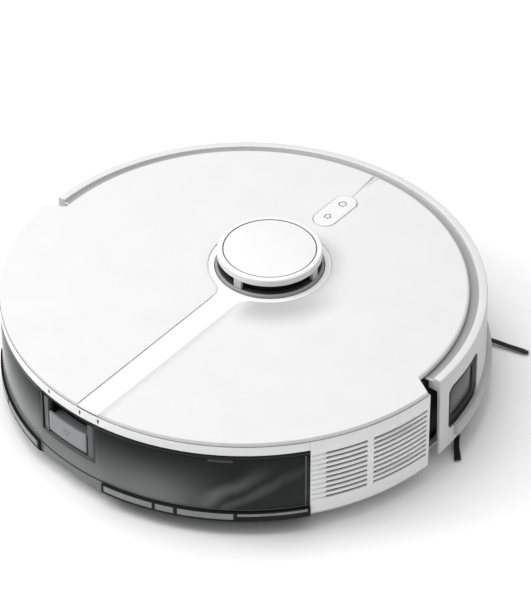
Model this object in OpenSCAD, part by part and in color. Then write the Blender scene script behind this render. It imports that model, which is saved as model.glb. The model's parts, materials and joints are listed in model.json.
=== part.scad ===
// Round robot vacuum with a laser turret, a sprung bumper and a rear dust and water tank.
// Frame: origin on the floor under the middle of the body, +X forwards, +Y left, +Z up.
// Every solid is in millimetres, at rest, standing on its two wheels and its caster.

/* [Body] */
// Outer radius of the round body
body_r = 175; // [172:0.5:178]
// Height of the flat top cover above the floor
cover_z = 82; // [82:0.5:84]
// Thickness of the top cover
cover_t = 3.5; // [3.5:0.1:3.8]
// Radius of the top cover where the bumper wraps it
cover_front_r = 159.8; // [159:0.1:160.5]
// Lowest edge of the side walls
skirt_z = 14.4; // [14:0.1:15]
// Underside of the base plate
base_z = 10; // [9.8:0.1:10]

/* [Bumper] */
// Half of the arc that the bumper covers, in degrees
bumper_half = 90.7; // [88:0.1:92]
// Height of the bumper's flat top rim
bumper_z = 80.1; // [79.8:0.1:80.4]
// Radius of the soft strip that stands out of the bumper
band_r = 177.7; // [176.5:0.1:178]

/* [Turret] */
// Distance of the turret's axis in front of the body's middle
turret_x = 28.6; // [26:0.1:30]
// Radius of the turret cap
turret_r = 37.9; // [37.5:0.1:38]
// Height of the top of the turret
turret_z = 95.7; // [95:0.1:97]

/* [Key] */
// Middle of the two-ended key on the top cover
key_x = 106.75; // [104:0.25:108]
// Length of the opening for the key
key_l = 42.5; // [40:0.5:44]
// Width of the opening for the key
key_w = 18.8; // [18:0.2:20]

/* [Wheels] */
// Radius of a driving tyre
wheel_r = 33; // [32:0.1:33.5]
// Distance of each tyre's middle from the centre plane
wheel_y = 113; // [112.5:0.1:113.5]
// Width of a driving tyre
tyre_w = 18; // [16:0.5:18]
// Distance of the caster in front of the body's middle
caster_x = 134; // [133:0.5:134]

/* [Brushes] */
// Distance of the main brush's axis behind the body's middle
brush_x = 36; // [36:0.1:36.3]
// Height of the main brush's axis
brush_z = 21; // [21:0.1:21.5]
// Radius of the main brush over its vanes
brush_r = 19.5; // [17:0.1:19.8]
// Place of the side brush, forwards
side_x = 71; // [70:0.5:73]
// Place of the side brush, to the right
side_y = -124; // [-125:0.5:-122]

/* [Tank] */
// Half of the arc that the tank leaves to the body, in degrees
tank_half = 127.3; // [126:0.1:128]
// Height of the top of the tank
tank_top_z = 70.4; // [69:0.1:70.6]
// Front face of the tank, behind the body's middle
tank_front = 63; // [63:0.1:63.5]
// Middle of the latch, in degrees from the front
latch_a = 172.9; // [168:0.1:178]

/* [Hidden] */
$fn = 120;

// One part's overlap beyond another in a cut, so that no skin is left
eps = 1;
// Radial clearance of a shaft that turns in a hole
run_fit = 0.05;
// Clearance between two pieces that slide past each other
slide_gap = 0.4;

cover_z0 = cover_z - cover_t;
cover_rear_r = body_r - 0.6;
cover_round = 2.6;
cover_edge = 0.8;
// Corner points of the cover's step, where the bumper ends
notch_in = [-9.5, 159.8];
notch_out = [-27.5, 187.8];

base_t = 3;
base_top = base_z + base_t;
base_front_r = 165;
base_rear_r = body_r - 3.2;
frame_top = base_top + 1.2;
wall_r0 = 156;
wall_r1 = 159;
wall_top = 74.6;
deck_z0 = 75;
deck_z1 = 77;
deck_front_r = 152;
rim_z0 = 71;
panel_t = 3;
panel_a0 = 95.3;

inlay_z = cover_z - 1;
inlay_t = 1.2;
inlay_half = 9.2;
inlay_r0 = 39.7;
inlay_r1 = 44.3;
flare_r = 14;

slot_n = 10;
slot_z0 = 26.5;
slot_pitch = 4.36;
slot_h = 2.1;
slot_arcs = [[96.2, 111.8], [113.4, 123.5]];
shallow_arc = [123.3, 127];

flange_z = 76;
flange_r = 158.6;
rim_r_in = 166.4;
band_half = 84.5;
window_a = -79;
window_w = 48;
window_h = 38;
window_z = 47;
glass_a = -80.25;
glass_w = 34.5;
glass_h = 24.5;
glass_z = 50.25;
dock_window_w = 62;
dock_window_h = 22;
dock_window_z = 51;

disc_r = 33.7;
gap_z0 = 83;
gap_z1 = 90.3;
post_angles = [0, 82.5, 180, 277.5];
post_w = 10;
lidar_z = 60;
lidar_plate_t = 2.5;
belt_d = 50;
belt_r1 = 31.5;
belt_r2 = 5.5;
belt_t = 1;
belt_z0 = 64;
belt_h = 2;
bearing_r = 15;

key_gap = 0.5;
key_pivot_z = 76.8;
key_pin_r = 1.2;
pin_r = 1.5;

arm_pivot = [46, 40];
arm_y0 = 88;
arm_y1 = 101.5;
axle_r = 3;
hub_r = 26;
lug_n = 28;
wheel_motor_c = [26, 38];
wheel_motor_r = 11;

caster_r = 12.5;
caster_trail = 6;
caster_cup_r = 21.5;
stem_r = 4;

tunnel_r = 21;
tunnel_t = 2;
brush_half = 75;
shaft_r = 3;
bristle_arc = 43;
bristle_bend_r = 95;
bristle_first_a = 1.5;
bristle_tilt = 4.3;
side_a = atan2(side_y, side_x);

fan_c = [-74, 41];
fan_r = 25;

tank_r = body_r - 0.2;
tank_back = 106.4;
tank_z0 = base_top + slide_gap;
tank_z1 = 67.2;
tank_wall = 2.5;
tank_block_half = 86;
pocket_half = 8.6;
pocket_r = 160.3;
pocket_z0 = 36;
pocket_z1 = 69;
inlet_half = 36;
inlet_z0 = 26;
inlet_z1 = 44;
lip_r0 = body_r + 0.1;
lip_r1 = body_r + 1.6;
lip_foot_z = 13;
lip_z1 = 20.5;
lip_arcs = [[tank_half, 163], [183.6, 360 - tank_half]];

screws = [[118, 20], [118, -20], [20, 70], [20, -70],
          [-95, 118], [-95, -118], [-5, 145], [-5, -145]];
contact_c = [128, 50];
cliff_places = [[150, 30], [150, -30], [148, 97], [148, -97]];

// ---- Helpers -------------------------------------------------------------------------------

// An upright wall that follows the round body from angle a0 to angle a1
module ring_wall(r0, r1, z0, z1, a0 = 0, a1 = 360) {
    rotate([0, 0, a0])
        rotate_extrude(angle = a1 - a0)
            translate([r0, z0]) square([r1 - r0, z1 - z0]);
}

// A cylinder along Y between two distances from the centre plane
module rod_y(r, y0, y1, x = 0, z = 0) {
    translate([x, y0, z]) rotate([-90, 0, 0]) cylinder(r = r, h = y1 - y0);
}

// A box given by its two opposite corners
module span(a, b) {
    translate(a) cube(b - a);
}

module rounded_rect(w, h, r) {
    square([w - 2 * r, h], center = true);
    square([w, h - 2 * r], center = true);
    for (x = [-1, 1], y = [-1, 1])
        translate([x * (w / 2 - r), y * (h / 2 - r)]) circle(r = r, $fn = 40);
}

module stadium(l, w) {
    square([l - w, w], center = true);
    for (x = [-1, 1])
        translate([x * (l - w) / 2, 0]) circle(r = w / 2);
}

// A rounded bar that points straight out of the body at angle a, used to cut windows
module radial_window(a, z, w, h, r) {
    rotate([0, 0, a]) translate([150, 0, z]) rotate([90, 0, 90])
        linear_extrude(40) rounded_rect(w, h, r);
}

// The points of a quarter round of radius r that ends a flat edge at radius edge_r
function quarter(edge_r, top_z, r, n = 6) =
    [for (i = [0 : n]) [edge_r - r + r * sin(90 - 90 * i / n), top_z - r + r * sin(90 * i / n)]];

module both_sides() {
    children();
    mirror([0, 1, 0]) children();
}

// ---- Shell ---------------------------------------------------------------------------------

module base_plate() color("whitesmoke") difference() {
    union() {
        rotate_extrude()
            polygon([[0, base_z], [158, base_z], [base_front_r, skirt_z], [base_front_r, 16],
                     [162, 16], [162, base_top], [0, base_top]]);
        ring_wall(150, base_rear_r, base_z + 0.2, base_top - 0.2, 95.5, 264.5);
    }
    // openings for the tyres and their arms
    both_sides() {
        span([-38, 102.5, 0], [44, 124, 20]);
        span([-20, 86.5, 0], [58, 103, 20]);
    }
    // no front rim under the tank
    span([-body_r, -body_r, base_top], [-102.4, body_r, 20]);
    // openings for the main brush, battery hatch, caster and side brush shaft
    span([-brush_x - 22, -80, 0], [-brush_x + 22, 80, 20]);
    span([40, -44, 0], [108, 44, 20]);
    translate([caster_x, 0, 0]) cylinder(r = caster_cup_r, h = 20);
    translate([side_x, side_y, 0]) cylinder(r = shaft_r + 1, h = 20);
    for (p = screws) {
        translate([p[0], p[1], base_z - eps]) cylinder(r = 3.2, h = 2.1 + eps, $fn = 40);
        translate([p[0], p[1], 0]) cylinder(r = 1.6, h = 20, $fn = 40);
    }
    both_sides() translate([contact_c[0] - 10, contact_c[1] - 6, 0]) cube([20, 12, 11.5]);
    for (c = cliff_places)
        rotate([0, 0, c[1]]) translate([c[0] - 4, -7, 0]) cube([8, 14, 20]);
}

// Floor of the inner frame, open where the wheels, the brush, the battery and the tank are
module frame_floor() {
    translate([0, 0, base_top]) linear_extrude(frame_top - base_top) difference() {
        circle(r = wall_r0 + 1);
        translate([-body_r, -88]) square([body_r - tank_front + 1, 176]);
        translate([-body_r, -body_r]) square([body_r - 104, 2 * body_r]);
        translate([-brush_x - 24, -84]) square([48, 168]);
        translate([40, -44]) square([68, 88]);
        for (s = [-1, 1]) {
            translate([3, s * 113.25]) square([82, 21.5], center = true);
            translate([20, s * 94.75]) square([78, 16.5], center = true);
        }
        translate([side_x, side_y]) circle(r = shaft_r + 1);
        for (p = screws) translate(p) circle(r = 1.6, $fn = 40);
        for (c = cliff_places) rotate(c[1]) translate([c[0], 0]) square([10, 16], center = true);
    }
}

module inner_frame() color("dimgray") difference() {
    union() {
        ring_wall(wall_r0, wall_r1, base_top, wall_top, -130.5, 130.5);
        frame_floor();
        // bay walls round the tank
        both_sides() {
            span([-105, 86.6, base_top], [-103, 128.2, wall_top]);
            span([-105, 86.6, base_top], [-62.4, 88.6, wall_top]);
        }
        span([-62.4, -88.6, base_top], [-60.9, 88.6, wall_top]);
        // ears that hold the suspension pivots
        both_sides() {
            span([40, 84.5, base_top], [52, 86.3, 46]);
            span([44.2, 103.2, base_top], [53, 106, 46]);
            for (x = [6, 100]) translate([x, 50, base_top]) cylinder(r = 3, h = 27, $fn = 40);
        }
        // cup over the caster
        translate([caster_x, 0, base_top]) cylinder(r = caster_cup_r + 1.5, h = 27);
    }
    translate([caster_x, 0, 0]) cylinder(r = caster_cup_r, h = 36);
    translate([caster_x, 0, 0]) cylinder(r = stem_r + run_fit, h = 60);
    // air way from the brush into the tank, and from the tank's filter to the fan
    span([-64, -inlet_half - 1, inlet_z0 - 1], [-58, inlet_half + 1, inlet_z1 + 1]);
    translate([fan_c[0], -80, fan_c[1]]) rotate([90, 0, 0]) cylinder(r = 14, h = 12);
    // exhaust slots behind each vent panel
    both_sides()
        for (z = [30 : 10 : 60])
            ring_wall(wall_r0 - eps, wall_r1 + eps, z, z + 6, 100, 124);
    both_sides() rod_y(axle_r, 80, 110, arm_pivot[0], arm_pivot[1]);
}

module upper_housing() color("white") difference() {
    union() {
        ring_wall(166, body_r, rim_z0, cover_z0, tank_half, 360 - tank_half);
        translate([0, 0, deck_z0]) linear_extrude(deck_z1 - deck_z0) union() {
            circle(r = deck_front_r);
            intersection() {
                circle(r = base_rear_r);
                polygon([[-18, 187], [-200, 187], [-200, -187], [-18, -187]]);
            }
        }
        ring_wall(136, 140, deck_z1, cover_z0);
    }
    translate([turret_x, 0, deck_z0 - eps]) cylinder(r = 46.5, h = 5);
    span([83, -12, deck_z0 - eps], [131, 12, cover_z]);
    // three small marks on the rim above the latch
    for (a = [167.5, 177.7, 183])
        rotate([0, 0, a]) translate([body_r - 1, -0.7, 73]) cube([3, 1.4, 3.4]);
}

// Point i of the flare between the inlay's strip and its ring, on the left (s = 1) or right
flare_y = inlay_half + flare_r;
flare_x = turret_x - sqrt(pow(inlay_r1 + flare_r, 2) - pow(flare_y, 2));
flare_end = atan2(flare_y, turret_x - flare_x);
function flare_point(s, i) =
    let (t = (flare_end - 90) * i / 10 - flare_end)
    [flare_x + flare_r * cos(t), s * (flare_y + flare_r * sin(t))];

// Flat shape of the inlay: a straight strip, a ring and the flares between them
module inlay_flat() {
    polygon(concat([[-body_r, -inlay_half]], [for (i = [10 : -1 : 0]) flare_point(-1, i)],
                   [[turret_x, 0]], [for (i = [0 : 10]) flare_point(1, i)],
                   [[-body_r, inlay_half]]));
    translate([turret_x, 0]) circle(r = inlay_r1 + 0.03);
}

// Solid of the cover before its openings are cut
module cover_blank() {
    rotate_extrude()
        polygon(concat([[0, cover_z0], [cover_front_r, cover_z0]],
                       quarter(cover_front_r, cover_z, cover_round), [[0, cover_z]]));
    intersection() {
        rotate_extrude()
            polygon(concat([[0, cover_z0], [cover_rear_r, cover_z0]],
                           quarter(cover_rear_r, cover_z, cover_edge, 3), [[0, cover_z]]));
        translate([0, 0, cover_z0 - eps]) linear_extrude(cover_t + 2 * eps)
            polygon([notch_in, notch_out, [-200, notch_out[1]], [-200, -notch_out[1]],
                     [notch_out[0], -notch_out[1]], [notch_in[0], -notch_in[1]]]);
    }
}

module top_cover() color("white") difference() {
    cover_blank();
    translate([0, 0, inlay_z - inlay_t]) linear_extrude(10) inlay_flat();
    translate([turret_x, 0, 0]) cylinder(r = inlay_r0, h = 100);
    translate([key_x, 0, 0]) linear_extrude(100) stadium(key_l, key_w);
    // fine groove from the key to the front edge
    span([key_x + key_l / 2 - 1, -0.35, cover_z - 0.6], [body_r, 0.35, cover_z + eps]);
}

module strip_inlay() color("white") intersection() {
    translate([0, 0, inlay_z - inlay_t]) linear_extrude(inlay_t) difference() {
        inlay_flat();
        translate([turret_x, 0]) circle(r = inlay_r0);
    }
    cylinder(r = cover_rear_r, h = 100);
}

module vent_panel() difference() {
    union() {
        ring_wall(body_r - panel_t, body_r, skirt_z, cover_z0, panel_a0, tank_half - 0.05);
        ring_wall(166, body_r - panel_t + 0.2, base_top, skirt_z + 1.5, panel_a0, tank_half - 0.5);
    }
    for (i = [0 : slot_n - 1]) {
        z = slot_z0 + i * slot_pitch - slot_h / 2;
        for (a = slot_arcs) ring_wall(165, body_r + eps, z, z + slot_h, a[0], a[1]);
        ring_wall(body_r - 0.8, body_r + eps, z + 0.15, z + slot_h - 0.15, shallow_arc[0], shallow_arc[1]);
    }
}

module vent_panel_left() color("white") vent_panel();

module vent_panel_right() color("white") mirror([0, 1, 0]) vent_panel();

module battery_hatch() color("whitesmoke") difference() {
    span([40.3, -43.7, base_z], [107.7, 43.7, base_top - 0.4]);
    for (y = [-24 : 12 : 24]) span([50, y - 2, base_z - eps], [98, y + 2, base_z + 0.8]);
}

module battery_pack() color("royalblue") {
    span([43, -38.5, base_top - 0.4], [105, 38.5, 36]);
}

module main_board() color("darkgreen") {
    span([2, -54, 40], [104, 54, 41.6]);
    span([14, -30, 41.6], [30, -14, 43]);
    span([14, 14, 41.6], [34, 34, 43.4]);
    span([50, -48, 41.6], [64, -34, 48]);
    span([50, 34, 41.6], [60, 48, 50]);
    span([90, -40, 41.6], [100, 10, 46]);
}

module charging_contacts() color("silver") both_sides() {
    translate([contact_c[0] - 9.8, contact_c[1] - 5.8, base_z - 0.5]) cube([19.6, 11.6, 2]);
}

module cliff_sensors() color("black") {
    for (c = cliff_places)
        rotate([0, 0, c[1]]) translate([c[0] - 3.8, -6.8, base_z + 0.2]) cube([7.6, 13.6, 6]);
}

module base_screws() color("silver") {
    for (p = screws) translate([p[0], p[1], base_z + 0.3]) {
        difference() {
            cylinder(r = 3, h = 1.8, $fn = 40);
            translate([-1.8, -0.3, -eps]) cube([3.6, 0.6, eps + 0.8]);
            translate([-0.3, -1.8, -eps]) cube([0.6, 3.6, eps + 0.8]);
        }
        translate([0, 0, 1.8]) cylinder(r = 1.5, h = 3.4, $fn = 40);
    }
}

module bumper_switches() color("black") both_sides() {
    rotate([0, 0, 35]) span([wall_r1, -9, 30], [wall_r1 + 6, 9, 42]);
}

// ---- Bumper --------------------------------------------------------------------------------

bumper_foot_r = body_r - 1.4;
bumper_top_r = body_r - 2.3;
// Outer radius of the bumper's wall at height z
function bumper_r(z) =
    bumper_foot_r + (bumper_top_r - bumper_foot_r) * (z - skirt_z) / (bumper_z - skirt_z);

// Rib that closes the bumper's top edge at one end, ahead of angle a
module bumper_rib(a) {
    rotate([0, 0, a]) rotate_extrude(angle = 1)
        polygon([[162.5, 69.8], [171, 69.8], [171, flange_z + 2], [162.5, flange_z + 0.6]]);
}

module bumper_shell() color("white") difference() {
    union() {
        bumper_profile();
        bumper_rib(-bumper_half);
        bumper_rib(bumper_half - 1);
    }
    radial_window(window_a, window_z, window_w, window_h, 6);
    radial_window(0, dock_window_z, dock_window_w, dock_window_h, 6);
}

module bumper_profile()
    rotate([0, 0, -bumper_half]) rotate_extrude(angle = 2 * bumper_half)
        polygon([[bumper_foot_r - 2.4, skirt_z], [bumper_foot_r, skirt_z],
                 [bumper_r(bumper_z - 0.8), bumper_z - 0.8], [bumper_top_r - 0.6, bumper_z],
                 [rim_r_in + 0.4, bumper_z], [rim_r_in, bumper_z - 0.4],
                 [rim_r_in, flange_z + 1.6], [flange_r, flange_z + 0.8], [flange_r, flange_z - 0.8],
                 [rim_r_in + 1, flange_z - 0.2], [170, 72.5]]);

module bumper_band() color("gainsboro")
    rotate([0, 0, -band_half]) rotate_extrude(angle = 2 * band_half)
        polygon([[bumper_r(19.4), 19.4], [band_r - 1.2, 19.4], [band_r - 0.3, 20.2], [band_r, 21.6],
                 [band_r, 26.4], [band_r - 0.5, 28.2], [band_r - 1.6, 29.4], [bumper_r(29.7), 29.7]]);

module side_sensor_frame() color("black") difference() {
    intersection() {
        ring_wall(169.4, 172.4, 20, 75, -95, -60);
        radial_window(window_a, window_z, window_w - 0.4, window_h - 0.4, 6);
    }
    radial_window(glass_a, glass_z, glass_w, glass_h, 5);
}

module side_sensor_glass() color("gray") intersection() {
    ring_wall(169.8, 171.6, 20, 75, -95, -60);
    radial_window(glass_a, glass_z, glass_w, glass_h, 5);
}

module dock_sensor_window() color("black") intersection() {
    ring_wall(170, 172.6, 30, 70, -20, 20);
    radial_window(0, dock_window_z, dock_window_w - 0.4, dock_window_h - 0.4, 6);
}

// ---- Turret --------------------------------------------------------------------------------

module turret_cap() color("white") translate([turret_x, 0, 0]) {
    rotate_extrude()
        polygon([[0, turret_z - 3.2], [turret_r - 5, turret_z - 3.2], [turret_r - 3.4, gap_z1],
                 [turret_r, gap_z1], [turret_r, turret_z - 1.2], [turret_r - 0.4, turret_z - 0.4],
                 [turret_r - 1.2, turret_z], [disc_r + 0.2, turret_z],
                 [disc_r + 0.2, turret_z - 1.3], [0, turret_z - 1.3]]);
    for (a = post_angles)
        ring_wall(turret_r - 3.3, turret_r - 0.1, gap_z0 - 0.6, gap_z1 + 0.6,
                  a - post_w / 2, a + post_w / 2);
    rotate_extrude()
        polygon([[33.5, 77], [42.5, 77], [42.5, 78.2], [39.2, 78.2], [39.2, gap_z0 - 0.5],
                 [38.7, gap_z0], [33.5, gap_z0]]);
}

module turret_disc() color("whitesmoke")
    translate([turret_x, 0, turret_z - 1.3]) cylinder(r = disc_r, h = 1.1);

module lidar_base() color("dimgray") translate([turret_x, 0, 0]) difference() {
    union() {
        translate([0, 0, lidar_z]) cylinder(r = 40, h = lidar_plate_t);
        span([0, -14, lidar_z], [belt_d, 14, lidar_z + lidar_plate_t]);
        translate([belt_d, 0, lidar_z]) cylinder(r = 14, h = lidar_plate_t);
        for (x = [-22, 22], y = [-28, 28])
            translate([x, y, 41.6]) cylinder(r = 3, h = lidar_z - 41.6, $fn = 40);
    }
    translate([belt_d, 0, lidar_z - eps]) cylinder(r = 2, h = 6);
}

module lidar_bearing() color("silver") translate([turret_x, 0, lidar_z + lidar_plate_t]) {
    difference() {
        cylinder(r = bearing_r, h = 3.5);
        translate([0, 0, -eps]) cylinder(r = bearing_r - 4, h = 6);
    }
}

module lidar_rotor() color("black") translate([turret_x, 0, 0]) difference() {
    union() {
        translate([0, 0, 62.9]) cylinder(r = 33, h = 0.9);
        translate([0, 0, 63.8]) cylinder(r = belt_r1, h = 2.4);
        translate([0, 0, 66.2]) cylinder(r = 33, h = 0.9);
        translate([0, 0, 67.1]) cylinder(r = 32.3, h = 22.9);
    }
    translate([0, 0, 60]) cylinder(r = bearing_r + run_fit, h = 6.4);
    // flat face with the two lens openings
    span([25, -40, 80], [40, 40, 100]);
    for (y = [-10, 10])
        translate([20, y, 85]) rotate([0, 90, 0]) cylinder(r = 3.6, h = 10, $fn = 40);
}

module lidar_motor() color("silver") translate([turret_x + belt_d, 0, 0]) {
    translate([0, 0, 46]) cylinder(r = 10, h = lidar_z - 46);
}

module lidar_pulley() color("black") translate([turret_x + belt_d, 0, 0]) {
    translate([0, 0, lidar_z + 0.1]) cylinder(r = 1.5, h = 3.3, $fn = 40);
    translate([0, 0, 62.9]) cylinder(r = 6.6, h = 0.9);
    translate([0, 0, 63.8]) cylinder(r = belt_r2, h = 2.4);
    translate([0, 0, 66.2]) cylinder(r = 6.6, h = 0.9);
}

// A closed belt round two pulleys, a distance belt_d apart: two arcs and two straight runs
module lidar_belt() color("black") translate([turret_x, 0, 0]) {
    r1 = belt_r1 + run_fit;
    r2 = belt_r2 + run_fit;
    t = acos((r1 - r2) / belt_d);
    run = sqrt(pow(belt_d, 2) - pow(r1 - r2, 2));
    ring_wall(r1, r1 + belt_t, belt_z0, belt_z0 + belt_h, t - 0.3, 360.3 - t);
    translate([belt_d, 0, 0])
        ring_wall(r2, r2 + belt_t, belt_z0, belt_z0 + belt_h, -t - 0.5, t + 0.5);
    both_sides()
        translate([r1 * cos(t), r1 * sin(t), belt_z0]) rotate([0, 0, t - 90])
            translate([-0.05, 0, 0]) cube([run + 0.1, belt_t, belt_h]);
}

// ---- Key -----------------------------------------------------------------------------------

module key_pill() color("whitesmoke") translate([key_x, 0, 0]) {
    translate([0, 0, 79.2]) linear_extrude(cover_z + 0.4 - 79.2)
        stadium(key_l - 2 * key_gap, key_w - 2 * key_gap);
    span([-2, -7.5, key_pivot_z - 0.6], [2, 7.5, 79.4]);
    rod_y(key_pin_r, -10, 10, 0, key_pivot_z);
}

module key_carrier() color("dimgray") translate([key_x, 0, 0]) difference() {
    union() {
        span([-27, -15, 73.5], [27, 15, 75]);
        both_sides() span([-3, 8.6, 75], [3, 10.4, 78.4]);
        for (x = [-14, 14]) translate([x, 0, 75]) cylinder(r = 1.8, h = 3, $fn = 40);
    }
    rod_y(key_pin_r + run_fit, -12, 12, 0, key_pivot_z);
}

// ---- Side brush ----------------------------------------------------------------------------

module side_brush_hub() color("gray") translate([side_x, side_y, 0]) {
    translate([0, 0, 3.5]) cylinder(r = 9, h = base_z - 4.2);
    translate([0, 0, base_z - 0.7]) cylinder(r = shaft_r, h = 12);
}

// Three tufts, each a flat bar bent backwards in plan and sloping down to the floor
module side_brush_bristles() color("black") translate([side_x, side_y, 6.2]) {
    for (i = [0 : 2])
        rotate([0, 0, bristle_first_a + i * 120]) rotate([0, bristle_tilt, 0])
            translate([9.2, -bristle_bend_r, 0]) rotate([0, 0, 90 - bristle_arc])
                rotate_extrude(angle = bristle_arc)
                    translate([bristle_bend_r - 2, -0.5]) square([4, 1.6]);
}

module side_brush_motor() color("dimgray") translate([side_x, side_y, 0])
    rotate([0, 0, side_a]) difference() {
        union() {
            span([-22, -14, frame_top], [12, 14, 34]);
            translate([-8, 0, 34]) cylinder(r = 10, h = 12);
        }
        translate([0, 0, base_top - eps]) cylinder(r = shaft_r + run_fit, h = 12);
    }

// ---- Main brush ----------------------------------------------------------------------------

module brush_housing() color("dimgray") difference() {
    union() {
        rod_y(tunnel_r + tunnel_t, -83, 83, -brush_x, brush_z);
        span([-brush_x - 23, -83, base_top], [-brush_x + 23, 83, brush_z]);
        span([-62.2, -inlet_half, inlet_z0], [-brush_x, inlet_half, inlet_z1]);
    }
    rod_y(tunnel_r, -80.5, 80.5, -brush_x, brush_z);
    span([-brush_x - tunnel_r, -80.5, 0], [-brush_x + tunnel_r, 80.5, brush_z]);
    span([-70, -inlet_half + 2, inlet_z0 + 2], [-brush_x - 2, inlet_half - 2, inlet_z1 - 2]);
    span([-80, -90, -10], [20, 90, base_top]);
    rod_y(6, -90, 90, -brush_x, brush_z);
}

module brush_guard() color("gray") difference() {
    span([-brush_x - 26, -84, 7.2], [-brush_x + 26, 84, base_z]);
    span([-brush_x - 19.8, -76.5, 0], [-brush_x + 19.8, 76.5, 20]);
    both_sides() span([-brush_x + 21, 50, 6], [-brush_x + 27, 62, 8.4]);
}

module brush_bearings() color("silver") both_sides() difference() {
    rod_y(6, 80.5, 83, -brush_x, brush_z);
    rod_y(shaft_r + run_fit, 80, 84, -brush_x, brush_z);
}

module brush_core() color("darkorange") {
    rod_y(9, -brush_half - 2, brush_half + 2, -brush_x, brush_z);
    rod_y(shaft_r, -82.8, 89, -brush_x, brush_z);
}

module brush_vanes() color("black") translate([-brush_x, 0, brush_z]) difference() {
    union() {
        rod_y(10.2, -brush_half, brush_half);
        for (i = [0 : 5])
            rotate([0, i * 60, 0]) span([0, 0.3 - brush_half, -1.2], [brush_r, brush_half - 0.3, 1.2]);
    }
    rod_y(9, -80, 80);
}

module brush_gearbox() color("dimgray") difference() {
    span([-56, 84.3, frame_top], [-20, 99, 70.5]);
    rod_y(shaft_r + run_fit, 80, 90, -brush_x, brush_z);
}

module brush_motor() color("silver") rod_y(11, 46, 84.3, -brush_x, 59);

// ---- Driving wheels ------------------------------------------------------------------------

module wheel_arm() difference() {
    union() {
        rod_y(9, arm_y0, arm_y1, arm_pivot[0], arm_pivot[1]);
        rod_y(16, arm_y0, arm_y1, 0, wheel_r);
        span([0, arm_y0, 26], [40, arm_y1, 47]);
        rod_y(axle_r, arm_y1 - eps, 121.5, 0, wheel_r);
    }
    rod_y(axle_r + run_fit, 80, 110, arm_pivot[0], arm_pivot[1]);
}

module wheel_motor() rod_y(wheel_motor_r, 58, arm_y0, wheel_motor_c[0], wheel_motor_c[1]);

module wheel_hub() difference() {
    rod_y(hub_r, wheel_y - tyre_w / 2 + 1, wheel_y + tyre_w / 2 - 1, 0, wheel_r);
    rod_y(axle_r + run_fit, 90, 130, 0, wheel_r);
    translate([0, wheel_y + tyre_w / 2 - 4, wheel_r]) rotate([-90, 0, 0]) difference() {
        cylinder(r = hub_r - 3, h = 10);
        cylinder(r = axle_r + 4, h = 10);
        for (a = [0 : 60 : 300]) rotate([0, 0, a]) translate([0, -1.5, 0]) cube([30, 3, 10]);
    }
}

module tyre() difference() {
    rod_y(wheel_r, wheel_y - tyre_w / 2, wheel_y + tyre_w / 2, 0, wheel_r);
    rod_y(hub_r, 90, 130, 0, wheel_r);
    for (i = [0 : lug_n - 1])
        translate([0, 0, wheel_r]) rotate([0, (i + 0.5) * 360 / lug_n, 0])
            for (s = [-1, 1])
                translate([-1.2, wheel_y + s * 5 - 3.6, wheel_r - 1.6]) cube([2.4, 7.2, 5]);
}

module wheel_arm_left() color("dimgray") wheel_arm();

module wheel_arm_right() color("dimgray") mirror([0, 1, 0]) wheel_arm();

module wheel_motor_left() color("silver") wheel_motor();

module wheel_motor_right() color("silver") mirror([0, 1, 0]) wheel_motor();

module wheel_hub_left() color("gray") wheel_hub();

module wheel_hub_right() color("gray") mirror([0, 1, 0]) wheel_hub();

module tyre_left() color("black") tyre();

module tyre_right() color("black") mirror([0, 1, 0]) tyre();

module arm_pivot_pins() color("silver") both_sides()
    rod_y(axle_r, 84.5, 106, arm_pivot[0], arm_pivot[1]);

// ---- Caster --------------------------------------------------------------------------------

module caster_fork() color("gray") translate([caster_x, 0, 0]) {
    translate([0, 0, 30]) cylinder(r = 19, h = 3);
    translate([0, 0, 33]) cylinder(r = stem_r, h = 7);
    both_sides() {
        span([-caster_trail - 5, 7.6, caster_r], [4, 9.6, 30]);
        rod_y(5, 7.6, 9.6, -caster_trail, caster_r);
    }
    rod_y(pin_r, -9.6, 9.6, -caster_trail, caster_r);
}

module caster_wheel() color("black") translate([caster_x - caster_trail, 0, 0]) difference() {
    union() {
        rod_y(caster_r, -6, 6, 0, caster_r);
        rod_y(4, -7.2, 7.2, 0, caster_r);
    }
    rod_y(pin_r + run_fit, -10, 10, 0, caster_r);
}

// ---- Fan and pump --------------------------------------------------------------------------

module fan_housing() color("gray") difference() {
    rod_y(fan_r, -118.6, -88.7, fan_c[0], fan_c[1]);
    rod_y(fan_r - 1.5, -117, -90.2, fan_c[0], fan_c[1]);
    rod_y(13, -92, -88, fan_c[0], fan_c[1]);
    rod_y(4, -120, -116, fan_c[0], fan_c[1]);
    // exhaust port
    span([fan_c[0] - fan_r - 1, -114, fan_c[1] - 8], [fan_c[0] - 15, -98, fan_c[1] + 8]);
}

module fan_impeller() color("silver") translate([fan_c[0], 0, fan_c[1]]) {
    rod_y(20.5, -114, -112.4);
    rod_y(5, -112.4, -94);
    rod_y(3.95, -119.6, -114);
    for (a = [0 : 45 : 315])
        rotate([0, a, 0]) span([4.5, -112.6, -0.6], [19.5, -98, 0.6]);
}

module water_pump() color("dimgray") {
    span([-90, 96, frame_top], [-60, 119, 33]);
    rod_y(8.5, 119, 131, -71, 23.5);
    rod_y(3, 88.6, 96, -77, 23);
}

// ---- Tank ----------------------------------------------------------------------------------

// Flat outline of the tank: a slice of the round body and a block that reaches forwards
module tank_flat(inset = 0) {
    intersection() {
        circle(r = tank_r - inset);
        translate([-body_r, -tank_r]) square([body_r - tank_back - inset, 2 * tank_r]);
    }
    translate([-tank_back - 10, -tank_block_half + inset])
        square([tank_back + 10 - tank_front - inset, 2 * (tank_block_half - inset)]);
}

module latch_pocket(top_z) {
    ring_wall(pocket_r, body_r + 5, pocket_z0, top_z, latch_a - pocket_half, latch_a + pocket_half);
}

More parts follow.
